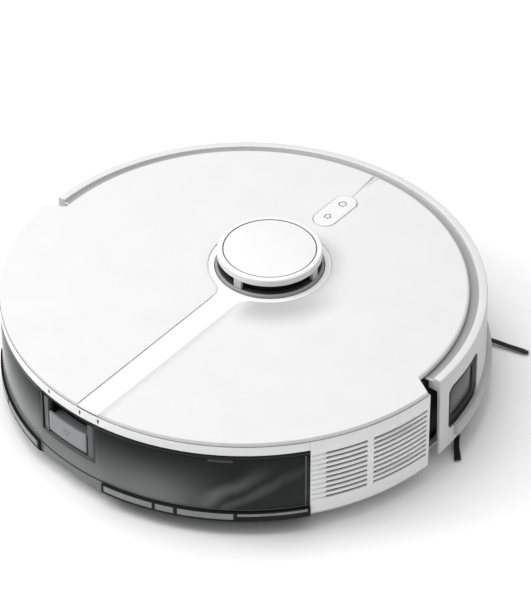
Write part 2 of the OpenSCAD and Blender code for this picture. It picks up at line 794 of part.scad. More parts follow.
module tank_shell() color("darkslategray") difference() {
    union() {
        difference() {
            translate([0, 0, tank_z0]) linear_extrude(tank_z1 - tank_z0) tank_flat();
            translate([0, 0, tank_z0 + tank_wall]) linear_extrude(100) tank_flat(tank_wall);
        }
        // walls round the latch pocket
        ring_wall(pocket_r - 1.8, tank_r - 1, pocket_z0 - 1.8, tank_z1,
                  latch_a - pocket_half - 0.8, latch_a + pocket_half + 0.8);
    }
    latch_pocket(100);
    span([-70, -inlet_half + 2, inlet_z0 + 2], [-60, inlet_half - 2, inlet_z1 - 2]);
    translate([fan_c[0], -80, fan_c[1]]) rotate([90, 0, 0]) cylinder(r = 13, h = 12);
}

module dust_box() color("lightgray") difference() {
    span([-112, -83, 16.4], [-66.2, 83, 66.6]);
    span([-110.2, -72, 18], [-68, 81.2, 80]);
    span([-110.2, -81.2, 18], [-68, -75, 80]);
    span([-70, -inlet_half + 2, inlet_z0 + 2], [-60, inlet_half - 2, inlet_z1 - 2]);
    translate([fan_c[0] - 2, -70, fan_c[1]]) rotate([90, 0, 0]) cylinder(r = 13, h = 20);
}

module tank_filter() color("ivory") {
    span([-106, -79.4, 20], [-70, -75.4, 62]);
    for (x = [-104 : 4 : -72]) span([x, -80.9, 22], [x + 1.2, -79.4, 60]);
}

module tank_lid() color("darkslategray") difference() {
    translate([0, 0, tank_z1 + 0.1]) linear_extrude(tank_top_z - tank_z1 - 0.1) tank_flat();
    latch_pocket(pocket_z1);
}

module tank_latch() color("gray") rotate([0, 0, latch_a]) difference() {
    union() {
        intersection() {
            span([163.6, -18.4, 40], [tank_r + 1, 18.4, 56]);
            translate([0, 0, 39]) cylinder(r = tank_r - 0.2, h = 18);
        }
        for (y = [-9, 9]) span([164, y - 2, pocket_z0 + 0.3], [169, y + 2, 41]);
    }
    // finger hollow behind the upper edge
    translate([168.5, -20, 57.5]) rotate([-90, 0, 0]) cylinder(r = 3.2, h = 40);
}

module mop_bracket() color("dimgray") {
    translate([0, 0, 6]) linear_extrude(3.4) mop_flat(166, 128);
    for (a = lip_arcs)
        rotate([0, 0, a[0]]) rotate_extrude(angle = a[1] - a[0])
            polygon([[164, 7.4], [171.9, 8.3], [lip_r1, lip_foot_z - 0.2], [lip_r1, lip_z1],
                     [lip_r0, lip_z1], [lip_r0, lip_foot_z + 0.1], [171.7, 9.8], [164, 9.2]]);
}

// Outline of the plate and the cloth: the rear slice of a circle, cut off at the sides
module mop_flat(r, half_w) {
    intersection() {
        circle(r = r);
        translate([-body_r, -half_w]) square([body_r - 78, 2 * half_w]);
    }
}

module mop_cloth() color("slategray") translate([0, 0, 0.3]) linear_extrude(5.7) mop_flat(160, 122);

// ---- Nodes ---------------------------------------------------------------------------------

base_plate();
inner_frame();
upper_housing();
top_cover();
strip_inlay();
vent_panel_right();
vent_panel_left();
battery_hatch();
battery_pack();
main_board();
charging_contacts();
cliff_sensors();
base_screws();
bumper_switches();
bumper_shell();
bumper_band();
side_sensor_frame();
side_sensor_glass();
dock_sensor_window();
turret_cap();
turret_disc();
lidar_base();
lidar_bearing();
lidar_rotor();
lidar_motor();
lidar_pulley();
lidar_belt();
key_pill();
key_carrier();
side_brush_hub();
side_brush_bristles();
side_brush_motor();
brush_housing();
brush_guard();
brush_bearings();
brush_core();
brush_vanes();
brush_gearbox();
brush_motor();
wheel_arm_right();
wheel_arm_left();
wheel_motor_right();
wheel_motor_left();
wheel_hub_right();
wheel_hub_left();
tyre_right();
tyre_left();
arm_pivot_pins();
caster_fork();
caster_wheel();
fan_housing();
fan_impeller();
water_pump();
tank_shell();
dust_box();
tank_lid();
tank_filter();
tank_latch();
mop_bracket();
mop_cloth();
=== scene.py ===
import json
import math
import random

import bmesh
import bpy
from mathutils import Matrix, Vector


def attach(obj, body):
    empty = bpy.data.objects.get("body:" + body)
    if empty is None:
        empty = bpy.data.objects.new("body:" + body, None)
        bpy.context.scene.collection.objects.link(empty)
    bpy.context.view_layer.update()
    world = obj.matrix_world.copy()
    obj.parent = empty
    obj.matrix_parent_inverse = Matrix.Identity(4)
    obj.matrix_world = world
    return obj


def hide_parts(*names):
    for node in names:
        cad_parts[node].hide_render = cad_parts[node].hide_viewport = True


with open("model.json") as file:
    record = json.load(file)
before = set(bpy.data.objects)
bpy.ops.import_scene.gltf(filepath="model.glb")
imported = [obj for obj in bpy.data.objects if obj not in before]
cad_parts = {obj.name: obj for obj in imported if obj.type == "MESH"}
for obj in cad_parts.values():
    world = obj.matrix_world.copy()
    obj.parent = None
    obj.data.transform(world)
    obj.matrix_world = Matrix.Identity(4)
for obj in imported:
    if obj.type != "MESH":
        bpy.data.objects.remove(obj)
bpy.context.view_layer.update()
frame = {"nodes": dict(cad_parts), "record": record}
RECORD = frame["record"]
SLOT_OF = {s["node"]: s["material_slot"] for s in RECORD["subparts"]}
BODY_OF = {n: b for b, ns in RECORD["behaviour"]["bodies"].items() for n in ns}
MM = 0.001
random.seed(7)


# ---- Camera, light and floor -----------------------------------------------------------------

# The camera was fitted to the photograph: lens and sensor in mm, place in metres and degrees
LENS, SENSOR = 215.96, 36
LOOK_AT = Vector((0.02483, 0.00091, 0.050))
VIEW_AZIMUTH, VIEW_ELEVATION, VIEW_DISTANCE = -142.228, 38.695, 2.597
LIGHT_AIM = Vector((0, 0, 0.05))
SKY_STRENGTH = 0.92
FLOOR_SIZE = 12


def add_camera():
    data = bpy.data.cameras.new("camera")
    data.lens = LENS
    data.sensor_width = data.sensor_height = SENSOR
    data.clip_start, data.clip_end = 0.05, 50
    cam = bpy.data.objects.new("camera", data)
    bpy.context.scene.collection.objects.link(cam)
    az, el = math.radians(VIEW_AZIMUTH), math.radians(VIEW_ELEVATION)
    away = Vector((math.cos(el) * math.cos(az), math.cos(el) * math.sin(az), math.sin(el)))
    cam.location = LOOK_AT + VIEW_DISTANCE * away
    cam.rotation_euler = away.to_track_quat("Z", "Y").to_euler()
    bpy.context.scene.camera = cam


def add_light(name, place, side, power):
    """A square area light that points at the object."""
    data = bpy.data.lights.new(name, "AREA")
    data.shape = "RECTANGLE"
    data.size = data.size_y = side
    data.energy = power
    light = bpy.data.objects.new(name, data)
    bpy.context.scene.collection.objects.link(light)
    light.location = place
    light.rotation_euler = (Vector(place) - LIGHT_AIM).to_track_quat("Z", "Y").to_euler()


def add_world():
    """White light from above that fades to nothing at the horizon, so that walls are darker."""
    world = bpy.data.worlds.new("studio")
    world.use_nodes = True
    tree = world.node_tree
    coords = tree.nodes.new("ShaderNodeTexCoord")
    parts = tree.nodes.new("ShaderNodeSeparateXYZ")
    tree.links.new(coords.outputs["Generated"], parts.inputs["Vector"])
    dome = map_range(tree, parts.outputs["Z"], (0.0, 1.0, 0.0, SKY_STRENGTH))
    tree.links.new(dome, tree.nodes["Background"].inputs["Strength"])
    tree.nodes["Background"].inputs["Color"].default_value = (1, 1, 1, 1)
    bpy.context.scene.world = world


def add_surroundings():
    bpy.context.scene.view_settings.view_transform = "Standard"
    add_world()
    add_light("overhead", (-0.15, 0.30, 1.8), 1.2, 14)
    add_light("left_soft", (-0.75, 0.95, 1.2), 0.7, 10)
    bpy.ops.mesh.primitive_plane_add(size=FLOOR_SIZE)
    floor = bpy.context.object
    floor.name = "floor"
    floor.data.materials.append(plastic("floor_paper", (0.97, 0.97, 0.97), 0.95, vary=0.005,
                                        specular=0.2))


# ---- Materials -------------------------------------------------------------------------------

def map_range(tree, socket, spans, kind="LINEAR"):
    """A value mapped from one span to another; spans is (from low, from high, to low, to high)."""
    node = tree.nodes.new("ShaderNodeMapRange")
    node.interpolation_type = kind
    for key, value in zip(("From Min", "From Max", "To Min", "To Max"), spans):
        node.inputs[key].default_value = value
    tree.links.new(socket, node.inputs["Value"])
    return node.outputs["Result"]


def soft_ramp(tree, socket, start, end, low=0.0, high=1.0):
    """Goes smoothly from low at start to high at end."""
    return map_range(tree, socket, (start, end, low, high), "SMOOTHSTEP")


def math_node(tree, kind, a, b=0.0):
    """A math node's result; a and b are sockets or plain numbers."""
    node = tree.nodes.new("ShaderNodeMath")
    node.operation = kind
    for socket, value in zip(node.inputs, (a, b)):
        if isinstance(value, (int, float)):
            socket.default_value = value
        else:
            tree.links.new(value, socket)
    return node.outputs[0]


def object_place(tree):
    """The object coordinates, whole and as x, y and z, in metres."""
    vector = tree.nodes.new("ShaderNodeTexCoord").outputs["Object"]
    parts = tree.nodes.new("ShaderNodeSeparateXYZ")
    tree.links.new(vector, parts.inputs["Vector"])
    return vector, parts.outputs["X"], parts.outputs["Y"], parts.outputs["Z"]


def tint(mat, factor, color):
    """Mixes a colour over a material's own, as far as the factor's socket says."""
    tree = mat.node_tree
    base = tree.nodes["Principled BSDF"].inputs["Base Color"]
    tone = tree.nodes.new("ShaderNodeMix")
    tone.data_type = "RGBA"
    tone.inputs["B"].default_value = (*color, 1)
    tree.links.new(factor, tone.inputs["Factor"])
    tree.links.new(base.links[0].from_socket, tone.inputs["A"])
    tree.links.new(tone.outputs["Result"], base)


def ramp_noise(tree, scale, low, high, detail=3.0, vector=None):
    """A noise mapped from low to high, both floats."""
    noise = tree.nodes.new("ShaderNodeTexNoise")
    noise.inputs["Scale"].default_value = scale
    noise.inputs["Detail"].default_value = detail
    if vector:
        tree.links.new(vector, noise.inputs["Vector"])
    return map_range(tree, noise.outputs["Fac"], (0.3, 0.7, low, high))


def plastic(name, color, rough, vary=0.03, vary_scale=35, grain=0.0, grain_scale=1400,
            metallic=0.0, coat=0.0, specular=0.5, rough_vary=0.05, sheen=0.0, stretch=None,
            speckle=0.0):
    """A procedural material: noise varies its colour by the share vary and its roughness by
    rough_vary, grain is fine bump, and speckle darkens the grain's dots."""
    mat = bpy.data.materials.new(name)
    mat.use_nodes = True
    tree = mat.node_tree
    shader = tree.nodes["Principled BSDF"]
    coords = tree.nodes.new("ShaderNodeTexCoord")
    vector = coords.outputs["Object"]
    if stretch:
        mapping = tree.nodes.new("ShaderNodeMapping")
        mapping.inputs["Scale"].default_value = stretch
        tree.links.new(vector, mapping.inputs["Vector"])
        vector = mapping.outputs["Vector"]
    shade = tree.nodes.new("ShaderNodeMix")
    shade.data_type = "RGBA"
    shade.inputs["A"].default_value = (*[c * (1 - vary) for c in color], 1)
    shade.inputs["B"].default_value = (*[min(1, c * (1 + vary)) for c in color], 1)
    tree.links.new(ramp_noise(tree, vary_scale, 0, 1, vector=vector), shade.inputs["Factor"])
    result = shade.outputs["Result"]
    if speckle:
        dots = tree.nodes.new("ShaderNodeMix")
        dots.data_type = "RGBA"
        dots.blend_type = "MULTIPLY"
        dots.inputs["B"].default_value = (1 - speckle, 1 - speckle, 1 - speckle, 1)
        tree.links.new(ramp_noise(tree, grain_scale, 0, 1, 1.0, vector), dots.inputs["Factor"])
        tree.links.new(result, dots.inputs["A"])
        result = dots.outputs["Result"]
    tree.links.new(result, shader.inputs["Base Color"])
    low, high = max(0.02, rough - rough_vary), min(1, rough + rough_vary)
    tree.links.new(ramp_noise(tree, 60, low, high, vector=vector), shader.inputs["Roughness"])
    if grain:
        bump = tree.nodes.new("ShaderNodeBump")
        bump.inputs["Strength"].default_value = grain
        bump.inputs["Distance"].default_value = 0.0002
        tree.links.new(ramp_noise(tree, grain_scale, 0, 1, 2.0, vector), bump.inputs["Height"])
        tree.links.new(bump.outputs["Normal"], shader.inputs["Normal"])
    shader.inputs["Metallic"].default_value = metallic
    shader.inputs["Specular IOR Level"].default_value = specular
    shader.inputs["Coat Weight"].default_value = coat
    shader.inputs["Coat Roughness"].default_value = 0.08
    shader.inputs["Sheen Weight"].default_value = sheen
    return mat


def smoked(name):
    """Smoked see-through plastic: near black at the top, with painted light over it, a soft grey
    glow and streaks of painted reflection that brighten towards the foot of the wall and lean to
    one side."""
    mat = plastic(name, (0.006, 0.007, 0.007), 0.2, vary=0.1, rough_vary=0.03, specular=0.16)
    tree = mat.node_tree
    place, _, across, height = object_place(tree)
    # painted light: a grey glow, brighter towards the foot and fading towards one end
    foot = soft_ramp(tree, height, 0.068, 0.022)
    painted_glow = math_node(tree, "MULTIPLY", foot, soft_ramp(tree, across, -0.055, -0.104, 0.92, 0.04))
    # two leaning streaks of painted reflection near the right-hand end, as lines in height and
    # distance across
    start = soft_ramp(tree, across, -0.076, -0.090)
    fade = math_node(tree, "MULTIPLY", soft_ramp(tree, height, 0.066, 0.034), start)
    height = math_node(tree, "ADD", height, ramp_noise(tree, 30, -0.004, 0.004, 1.0, place))
    for slope, level, width, strength in ((0.875, -0.0447, 0.0125, 0.50),
                                          (0.92, -0.0684, 0.0075, 0.30)):
        line = math_node(tree, "ADD", height, math_node(tree, "MULTIPLY", across, slope))
        off = math_node(tree, "ABSOLUTE", math_node(tree, "SUBTRACT", line, level))
        painted_streak = soft_ramp(tree, off, width, 0.0, 0.0, strength)
        painted_glow = math_node(tree, "ADD", painted_glow, math_node(tree, "MULTIPLY", painted_streak, fade))
    cloud = ramp_noise(tree, 22, 0.82, 1.12, 1.0, place)
    tint(mat, math_node(tree, "MULTIPLY", painted_glow, cloud), (0.20, 0.206, 0.206))
    return mat


MATERIALS = {
    "white_shell": plastic("white_shell", (0.73, 0.73, 0.73), 0.55, vary=0.012, grain=0.25,
                           grain_scale=1500, speckle=0.07, specular=0.4),
    "white_smooth": plastic("white_smooth", (0.90, 0.90, 0.90), 0.36, vary=0.01, grain=0.05,
                            grain_scale=900, rough_vary=0.03),
    "pale_trim": plastic("pale_trim", (0.80, 0.80, 0.80), 0.34, vary=0.012, grain=0.06),
    "grey_plastic": plastic("grey_plastic", (0.20, 0.205, 0.21), 0.5, vary=0.06, grain=0.25),
    "dark_plastic": plastic("dark_plastic", (0.022, 0.022, 0.024), 0.5, vary=0.15, grain=0.25),
    "black_frame": plastic("black_frame", (0.014, 0.014, 0.015), 0.5, vary=0.1, specular=0.12),
    "smoke_plastic": smoked("smoke_plastic"),
    "latch_grey": plastic("latch_grey", (0.27, 0.275, 0.28), 0.45, vary=0.04, grain=0.12,
                          specular=0.35),
    "tinted_window": plastic("tinted_window", (0.080, 0.081, 0.083), 0.26, vary=0.04,
                             specular=0.2),
    "soft_band": plastic("soft_band", (0.52, 0.52, 0.52), 0.7, vary=0.04, grain=0.3),
    "clear_bin": plastic("clear_bin", (0.10, 0.105, 0.11), 0.2, vary=0.1, coat=0.3),
    "brush_orange": plastic("brush_orange", (0.60, 0.16, 0.02), 0.45, vary=0.06, grain=0.15),
    "rubber_vane": plastic("rubber_vane", (0.020, 0.020, 0.021), 0.62, vary=0.2, grain=0.3),
    "belt_rubber": plastic("belt_rubber", (0.016, 0.016, 0.016), 0.75, vary=0.2, grain=0.4),
    "tyre": plastic("tyre", (0.018, 0.018, 0.018), 0.8, vary=0.25, grain=0.5, grain_scale=900),
    "bristle": plastic("bristle", (0.018, 0.018, 0.019), 0.4, vary=0.3),
    "steel": plastic("steel", (0.55, 0.55, 0.56), 0.28, vary=0.05, metallic=1.0, grain=0.1,
                     stretch=(1, 1, 12)),
    "contact_metal": plastic("contact_metal", (0.75, 0.72, 0.64), 0.18, vary=0.05, metallic=1.0),
    "circuit_board": plastic("circuit_board", (0.012, 0.10, 0.035), 0.35, vary=0.25,
                             vary_scale=260, coat=0.3),
    "battery_wrap": plastic("battery_wrap", (0.03, 0.09, 0.32), 0.32, vary=0.08, coat=0.3),
    "filter_paper": plastic("filter_paper", (0.74, 0.71, 0.62), 0.9, vary=0.08, grain=0.6,
                            grain_scale=700),
    "mop_fabric": plastic("mop_fabric", (0.20, 0.235, 0.29), 0.95, vary=0.25, vary_scale=900,
                          grain=1.0, grain_scale=420, sheen=0.5),
}
# A grey that stands for shade: painted shade on the bumper's flange; the turret's sill uses it too
RIM_SHADE = plastic("rim_shade", (0.34, 0.34, 0.345), 0.5, vary=0.03, grain=0.1)
TURRET_WHITE = plastic("turret_white", (0.82, 0.82, 0.82), 0.36, vary=0.01, grain=0.05,
                       grain_scale=900, rough_vary=0.03)
POST_GREY = plastic("post_grey", (0.52, 0.52, 0.525), 0.45, vary=0.02, grain=0.1)
RECESS_GREY = plastic("recess_grey", (0.19, 0.195, 0.195), 0.5, vary=0.05, grain=0.1)
SEAM_SHADE = plastic("seam_shade", (0.16, 0.16, 0.16), 0.7, vary=0.1)
MARK_SHADE = plastic("mark_shade", (0.05, 0.05, 0.05), 0.7, vary=0.1)
SMOKE_GREY = plastic("smoke_grey", (0.085, 0.088, 0.088), 0.3, vary=0.08, specular=0.35)
LIP_WINDOW = plastic("lip_window", (0.26, 0.265, 0.265), 0.3, vary=0.1, vary_scale=80,
                     specular=0.35)
INK = plastic("icon_ink", (0.16, 0.16, 0.165), 0.5, vary=0.05)
SHADOW_GAP = plastic("shadow_gap", (0.03, 0.03, 0.03), 0.7, vary=0.1)


def paint_recess_shade(mat):
    """Painted shade: darkens the cover's colour where it falls gently into the inlay's recess,
    along the strip's near side and round the near side of the turret ring.
    """
    tree = mat.node_tree
    place, x, y, _ = object_place(tree)

    def times(a, b):
        return math_node(tree, "MULTIPLY", a, b)

    # painted shade along the strip's near edge, fading outwards
    strip = times(soft_ramp(tree, y, -0.0092, -0.0172, 0.16, 0.0), soft_ramp(tree, y, 0.0, -0.004))
    strip = times(strip, soft_ramp(tree, x, -0.008, -0.030))
    away = tree.nodes.new("ShaderNodeVectorMath")
    away.operation = "DISTANCE"
    away.inputs[1].default_value = (0.020, -0.010, 0.082)
    tree.links.new(place, away.inputs[0])
    # painted shade round the near side of the turret ring, fading outwards
    ring = times(soft_ramp(tree, away.outputs["Value"], 0.040, 0.064, 0.34, 0.0),
                 soft_ramp(tree, y, -0.006, -0.026))
    ring = times(ring, soft_ramp(tree, x, 0.050, -0.004))
    tint(mat, math_node(tree, "MAXIMUM", strip, ring), (0.0, 0.0, 0.0))
    return mat


# The cover's white, with painted shade beside the inlay's recess
COVER_WHITE_PAINTED_SHADE = paint_recess_shade(plastic("cover_white_painted_shade", (0.77, 0.77, 0.77), 0.55, vary=0.012, grain=0.25,
                                   grain_scale=1500, speckle=0.07, specular=0.4))


# ---- Mesh helpers ----------------------------------------------------------------------------

BEVEL_SEGMENTS, BEVEL_ANGLE = 2, 28


def apply_modifiers(ob):
    graph = bpy.context.evaluated_depsgraph_get()
    mesh = bpy.data.meshes.new_from_object(ob.evaluated_get(graph))
    old = ob.data
    ob.modifiers.clear()
    ob.data = mesh
    bpy.data.meshes.remove(old)


def add_piece(name, mesh, body, mat, nodes=(), bevel=0.0, smooth=32):
    """Links a mesh, bevels its sharp edges by bevel mm, shades edges under smooth degrees as
    round, and sets what it rides on and stands for."""
    ob = bpy.data.objects.new(name, mesh)
    bpy.context.scene.collection.objects.link(ob)
    if bevel:
        mod = ob.modifiers.new("bevel", "BEVEL")
        mod.width = bevel * MM
        mod.segments = BEVEL_SEGMENTS
        mod.limit_method = "ANGLE"
        mod.angle_limit = math.radians(BEVEL_ANGLE)
        mod.use_clamp_overlap = False
        mod.miter_outer = "MITER_ARC"
        apply_modifiers(ob)
    ob.data.shade_smooth()
    ob.data.set_sharp_from_angle(angle=math.radians(smooth))
    ob.data.materials.clear()
    ob.data.materials.append(mat)
    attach(ob, body)
    if nodes:
        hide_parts(*nodes)
    return ob


def to_mesh(name, bm):
    bmesh.ops.recalc_face_normals(bm, faces=bm.faces)
    mesh = bpy.data.meshes.new(name)
    bm.to_mesh(mesh)
    bm.free()
    return mesh


def skin(bm, rings):
    """Faces between rings of vertices that follow each other, and one over each end."""
    for p, q in zip(rings, rings[1:]):
        for j in range(len(p)):
            k = (j + 1) % len(p)
            bm.faces.new((p[j], p[k], q[k], q[j]))
    bm.faces.new(rings[0])
    bm.faces.new(rings[-1])


def on_wall(bm, r, angle, z):
    """A vertex at the radius r, the angle in radians and the height z, in mm."""
    return bm.verts.new((r * math.cos(angle) * MM, r * math.sin(angle) * MM, z * MM))


def refine(node, bevel, mat=None):
    """A piece with the node's own shape and softened edges, which stands for it."""
    bm = bmesh.new()
    bm.from_mesh(frame["nodes"][node].data)
    bmesh.ops.remove_doubles(bm, verts=bm.verts, dist=2e-6)
    bmesh.ops.dissolve_limit(bm, angle_limit=math.radians(0.8), verts=bm.verts, edges=bm.edges)
    name = node + "_detail"
    slot = SLOT_OF[node]
    add_piece(name, to_mesh(name, bm), BODY_OF[node], mat or MATERIALS[slot], [node], bevel)


def fillet(points, radii, seg=4):
    """A closed outline with its corners rounded; radii is one number or one for each corner."""
    out, n = [], len(points)
    for i, p in enumerate(points):
        r = radii[i] if isinstance(radii, (list, tuple)) else radii
        p = Vector(p)
        a, b = Vector(points[i - 1]) - p, Vector(points[(i + 1) % n]) - p
        turn = a.angle(b) if a.length and b.length else math.pi
        if r <= 0 or turn > math.radians(175):
            out.append(tuple(p))
            continue
        t = min(r / math.tan(turn / 2), 0.48 * a.length, 0.48 * b.length)
        r = t * math.tan(turn / 2)
        centre = p + (a.normalized() + b.normalized()).normalized() * (r / math.sin(turn / 2))
        start, end = p + a.normalized() * t - centre, p + b.normalized() * t - centre
        sweep = start.angle_signed(end)
        for k in range(seg + 1):
            f = sweep * -k / seg
            c, s = math.cos(f), math.sin(f)
            out.append((centre.x + start.x * c - start.y * s, centre.y + start.x * s + start.y * c))
    return out


def lathe_mesh(name, profile, a0=0.0, a1=360.0, steps=None, centre=(0, 0)):
    """A closed profile of (radius, height) turned about an upright axis from a0 to a1 degrees.
    Without a number of steps, each one is about 1.5 degrees."""
    full = abs(a1 - a0) >= 359.999
    steps = steps or max(4, int(abs(a1 - a0) / 1.5))
    bm = bmesh.new()
    rings = []
    for i in range(steps + (0 if full else 1)):
        t = math.radians(a0 + (a1 - a0) * i / steps)
        c, s = math.cos(t), math.sin(t)
        rings.append([bm.verts.new(((centre[0] + r * c) * MM, (centre[1] + r * s) * MM, z * MM))
                      for r, z in profile])
    n = len(profile)
    for i in range(steps):
        p, q = rings[i], rings[(i + 1) % len(rings)]
        for j in range(n):
            k = (j + 1) % n
            bm.faces.new((p[j], q[j], q[k], p[k]))
    if not full:
        bm.faces.new(rings[0])
        bm.faces.new(rings[-1])
    bmesh.ops.remove_doubles(bm, verts=bm.verts, dist=1e-7)
    return to_mesh(name, bm)


def plate_mesh(name, loops, z0, z1, lip=0.2, seg=3, foot=0.0):
    """A plate between z0 and z1. Each loop is a list of (x, y, width, depth): width and depth
    round the top edge there. Material lies on the left of every loop. lip is a flat border
    inside the rounding, and foot is a chamfer at the bottom edge."""
    bm = bmesh.new()
    tops, bottoms = [], []
    for loop in loops:
        n = len(loop)
        inward = []
        for i in range(n):
            p = Vector(loop[i][:2])
            a = (p - Vector(loop[i - 1][:2])).normalized()
            b = (Vector(loop[(i + 1) % n][:2]) - p).normalized()
            na, nb = Vector((-a.y, a.x)), Vector((-b.y, b.x))
            m = na + nb
            inward.append(m / max(0.35, 1 + na.dot(nb)))
        levels = [(foot, 0.0), (0.0, foot)] if foot else [(0.0, 0.0)]
        rows = [[(off, z0 + up)] * n for off, up in levels]
        for k in range(seg + 1):
            f = math.pi / 2 * k / seg
            rows.append([(w * (1 - math.cos(f)), z1 - d * (1 - math.sin(f)))
                         for _, _, w, d in loop])
        rows.append([(w + lip, z1) for _, _, w, _ in loop])
        made = [[bm.verts.new(((loop[i][0] + inward[i].x * off) * MM,
                               (loop[i][1] + inward[i].y * off) * MM, z * MM))
                 for i, (off, z) in enumerate(row)] for row in rows]
        for r in range(len(made) - 1):
            for i in range(n):
                j = (i + 1) % n
                bm.faces.new((made[r][i], made[r][j], made[r + 1][j], made[r + 1][i]))
        tops.append(made[-1])
        bottoms.append(made[0])
    for group in (tops, bottoms):
        edges = []
        for row in group:
            for i in range(len(row)):
                edges.append(bm.edges.get((row[i], row[(i + 1) % len(row)])))
        bmesh.ops.triangle_fill(bm, use_beauty=True, use_dissolve=False, edges=edges)
    return to_mesh(name, bm)


def arc(cx, cy, r, a0, a1, n):
    """n + 1 points on a circle, from a0 to a1 degrees."""
    return [(cx + r * math.cos(math.radians(a0 + (a1 - a0) * i / n)),
             cy + r * math.sin(math.radians(a0 + (a1 - a0) * i / n))) for i in range(n + 1)]


def stadium_points(cx, length, width, n=24, clockwise=False):
    """A long outline with half-round ends, centred on (cx, 0)."""
    h, r = (length - width) / 2, width / 2
    pts = arc(cx + h, 0, r, -90, 90, n) + arc(cx - h, 0, r, 90, 270, n)
    return pts[::-1] if clockwise else pts


# ---- Top cover and inlay ---------------------------------------------------------------------

# All sizes and places of pieces are in mm, with x towards the front
TURRET_X = 28.6
KEY_X = 106.75
COVER_Z = 82.0
COVER_FRONT_R, COVER_REAR_R = 159.8, 174.4
NOTCH_X = -9.5                      # where the cover's front edge ends, at each side
NOTCH_SLOPE = Vector((-18.0, 28.0)).normalized()
KEY_HOLE_END = 127.98               # where the key's hole opens into the groove in front of it
INLAY_Z = 81.0
INLAY_REAR_R = 174.3
INLAY_GAP = 0.12
STRIP_HALF = 9.2
RING_R = 44.3
FLARE_R = 14.0
FLARE_Y = STRIP_HALF + FLARE_R
FLARE_X = TURRET_X - math.sqrt((RING_R + FLARE_R) ** 2 - FLARE_Y ** 2)
FLARE_END = math.degrees(math.atan2(FLARE_Y, TURRET_X - FLARE_X))
RECESS_START = -172.6
SOFT_SIDE = -128.0                  # the direction, from the turret, of the widest soft edge


def flare(side, inward):
    """Points of one flare, from the strip to the ring or back."""
    pts = []
    for i in range(13):
        t = math.radians(-90 + (90 - FLARE_END) * i / 12)
        pts.append((FLARE_X + FLARE_R * math.cos(t), side * (FLARE_Y + FLARE_R * math.sin(t))))
    return pts if inward else pts[::-1]


def soften(x, y, side):
    """Width and depth of the cover's rounded edge beside the inlay: wide on the side where the
    cover falls gently into the recess, crisp on the other."""
    if x < FLARE_X:
        soft = 1.0 if side < 0 else 0.0
    else:
        a = math.degrees(math.atan2(y, x - TURRET_X))
        off = abs((a - SOFT_SIDE + 180) % 360 - 180)
        soft = 0.5 + 0.5 * math.cos(math.radians(min(180, max(0, off - 35) * 1.6)))
    return 0.25 + 6.0 * soft, 0.25 + 0.6 * soft


def cover_outline():
    """The cover's edge with the width and depth of its rounding, over the key's hole and round
    the recess for the inlay."""
    pts = []

    def add(points, rounding):
        pts.extend((x, y, rounding, rounding) for x, y in points)

    cut = math.degrees(math.asin(STRIP_HALF / COVER_REAR_R))
    reach = Vector((NOTCH_X, COVER_FRONT_R))
    t = 0.0
    while (reach + NOTCH_SLOPE * t).length < COVER_REAR_R:
        t += 0.01
    corner = reach + NOTCH_SLOPE * t
    rear_a = math.degrees(math.atan2(corner.y, corner.x))
    front_a = math.degrees(math.atan2(reach.y, reach.x))
    add(arc(0, 0, COVER_REAR_R, -180 + cut, -rear_a, 120), 0.8)
    add([(reach.x, -reach.y)], 1.0)
    add(arc(0, 0, COVER_FRONT_R, -front_a + 0.6, -0.125, 130), 2.4)
    add([(KEY_HOLE_END, -0.35)], 0.2)
    hole = stadium_points(KEY_X, 42.5, 18.8, 24, clockwise=True)
    start = min(range(len(hole)), key=lambda i: (hole[i][0] - 128) ** 2 + hole[i][1] ** 2)
    rim = hole[start + 1:] + hole[:start]
    add([p for p in rim if not (p[0] > 127.9 and abs(p[1]) < 0.36)], 0.3)
    add([(KEY_HOLE_END, 0.35)], 0.2)
    add(arc(0, 0, COVER_FRONT_R, 0.125, front_a - 0.6, 130), 2.4)
    add([(reach.x, reach.y)], 1.0)
    add(arc(0, 0, COVER_REAR_R, rear_a, 180 - cut, 120), 0.8)
    run = FLARE_X - RECESS_START
    inner = [(RECESS_START + run * i / 40, STRIP_HALF, 1) for i in range(40)]
    inner += [(x, y, 1) for x, y in flare(1, True)]
    end = 180 - FLARE_END
    inner += [(x, y, 0) for x, y in arc(TURRET_X, 0, RING_R, end - 1.5, -end + 1.5, 150)]
    inner += [(x, y, -1) for x, y in flare(-1, False)]
    inner += [(FLARE_X - run * i / 40, -STRIP_HALF, -1) for i in range(1, 41)]
    return pts + [(x, y, *soften(x, y, side)) for x, y, side in inner]


def make_cover():
    mesh = plate_mesh("cover", [cover_outline()], 78.65, COVER_Z, seg=6, lip=0.15)
    add_piece("cover", mesh, "chassis", COVER_WHITE_PAINTED_SHADE, ["top_cover"], smooth=40)
    x0, x1, half = 128.6, 159.4, 0.6
    corners = [(x0, -half, 0, 0), (x1, -half, 0, 0), (x1, half, 0, 0), (x0, half, 0, 0)]
    floor = plate_mesh("cover_groove", [corners], 80.6, 81.45, lip=0.05, seg=1)
    add_piece("cover_groove", floor, "chassis", MATERIALS["white_shell"])


